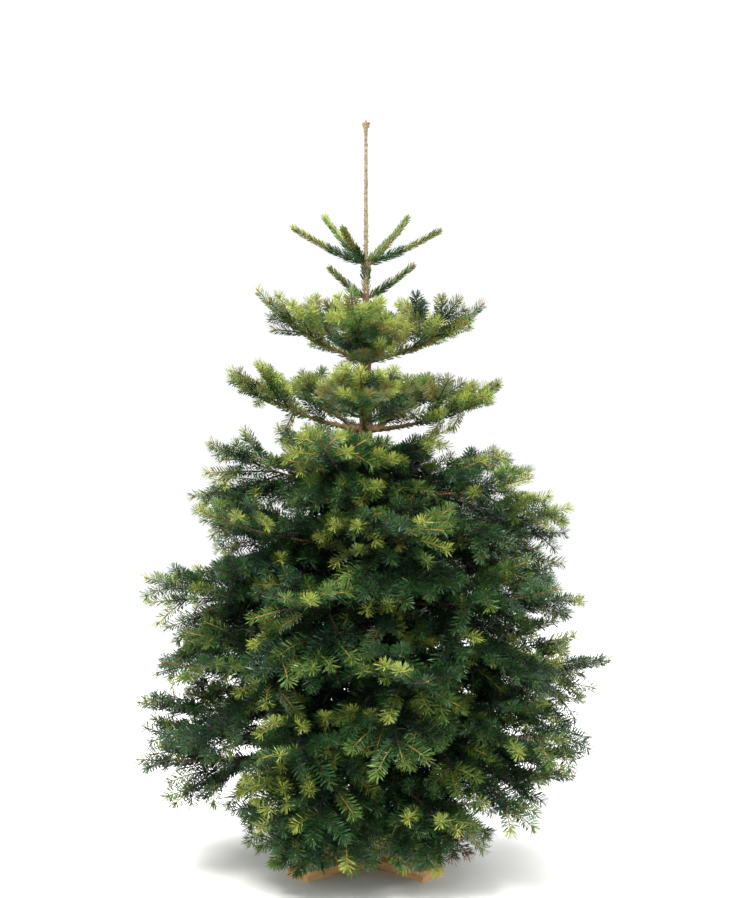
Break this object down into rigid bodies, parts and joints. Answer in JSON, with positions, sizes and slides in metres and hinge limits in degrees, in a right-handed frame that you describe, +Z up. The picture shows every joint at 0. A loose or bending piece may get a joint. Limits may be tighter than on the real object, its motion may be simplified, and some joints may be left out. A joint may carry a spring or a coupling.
{
  "type": "christmas tree",
  "caption": "Cut fir Christmas tree with tiers of needled boughs and a long bare leader, undecorated, standing on a plain crossed-board wooden stand.",
  "frame": {"origin": "middle of the stand's flat underside, under the foot of the trunk", "axes": "+Z up along the trunk, +X to the tree's right, -Y towards its front"},
  "size_m": [1.1505, 1.0055, 1.779],
  "materials": {
    "bark": "rough bark",
    "needles": "satin needles",
    "young_needles": "satin needles",
    "stand_wood": "bare sawn pine"
  },
  "bodies": {
    "root": {"trunk": "bark", "stand_board_lower": "stand_wood", "stand_board_upper": "stand_wood", "stand_brace_1": "stand_wood", "stand_brace_2": "stand_wood", "stand_brace_3": "stand_wood", "stand_brace_4": "stand_wood", "bough_tier4_1": "bark", "bough_tier4_2": "bark", "bough_tier4_3": "bark", "bough_tier4_4": "bark", "bough_tier4_5": "bark", "foliage_tier1_1": "young_needles", "foliage_tier1_2": "young_needles", "foliage_tier1_3": "young_needles", "foliage_tier1_4": "young_needles", "foliage_tier1_5": "young_needles", "foliage_tier2_1": "young_needles", "foliage_tier2_2": "young_needles", "foliage_tier3_1": "needles", "foliage_tier3_2": "needles", "foliage_tier3_3": "needles", "foliage_tier3_4": "needles", "foliage_tier3_5": "needles", "foliage_tier4_1": "needles", "foliage_tier4_2": "needles", "foliage_tier4_3": "needles", "foliage_tier4_4": "needles", "foliage_tier4_5": "needles", "foliage_tier5_1": "needles", "foliage_tier5_2": "needles", "foliage_tier5_3": "needles", "foliage_tier5_4": "needles", "foliage_tier5_5": "needles", "foliage_tier6_1": "needles", "foliage_tier6_2": "needles", "foliage_tier6_3": "needles", "foliage_tier6_4": "needles", "foliage_tier6_5": "needles", "foliage_tier7_1": "needles", "foliage_tier7_2": "needles", "foliage_tier7_3": "needles", "foliage_tier7_4": "needles", "foliage_tier7_5": "needles", "foliage_tier8_1": "needles", "foliage_tier8_2": "needles", "foliage_tier8_3": "needles", "foliage_tier8_4": "needles", "foliage_tier8_5": "needles", "foliage_tier9_1": "needles", "foliage_tier9_2": "needles", "foliage_tier9_3": "needles", "foliage_tier9_4": "needles", "foliage_tier9_5": "needles", "foliage_tier10_1": "needles", "foliage_tier10_2": "needles", "foliage_tier10_3": "needles", "foliage_tier10_4": "needles", "foliage_tier10_5": "needles", "foliage_tier10_6": "needles"}
  },
  "joints": []
}
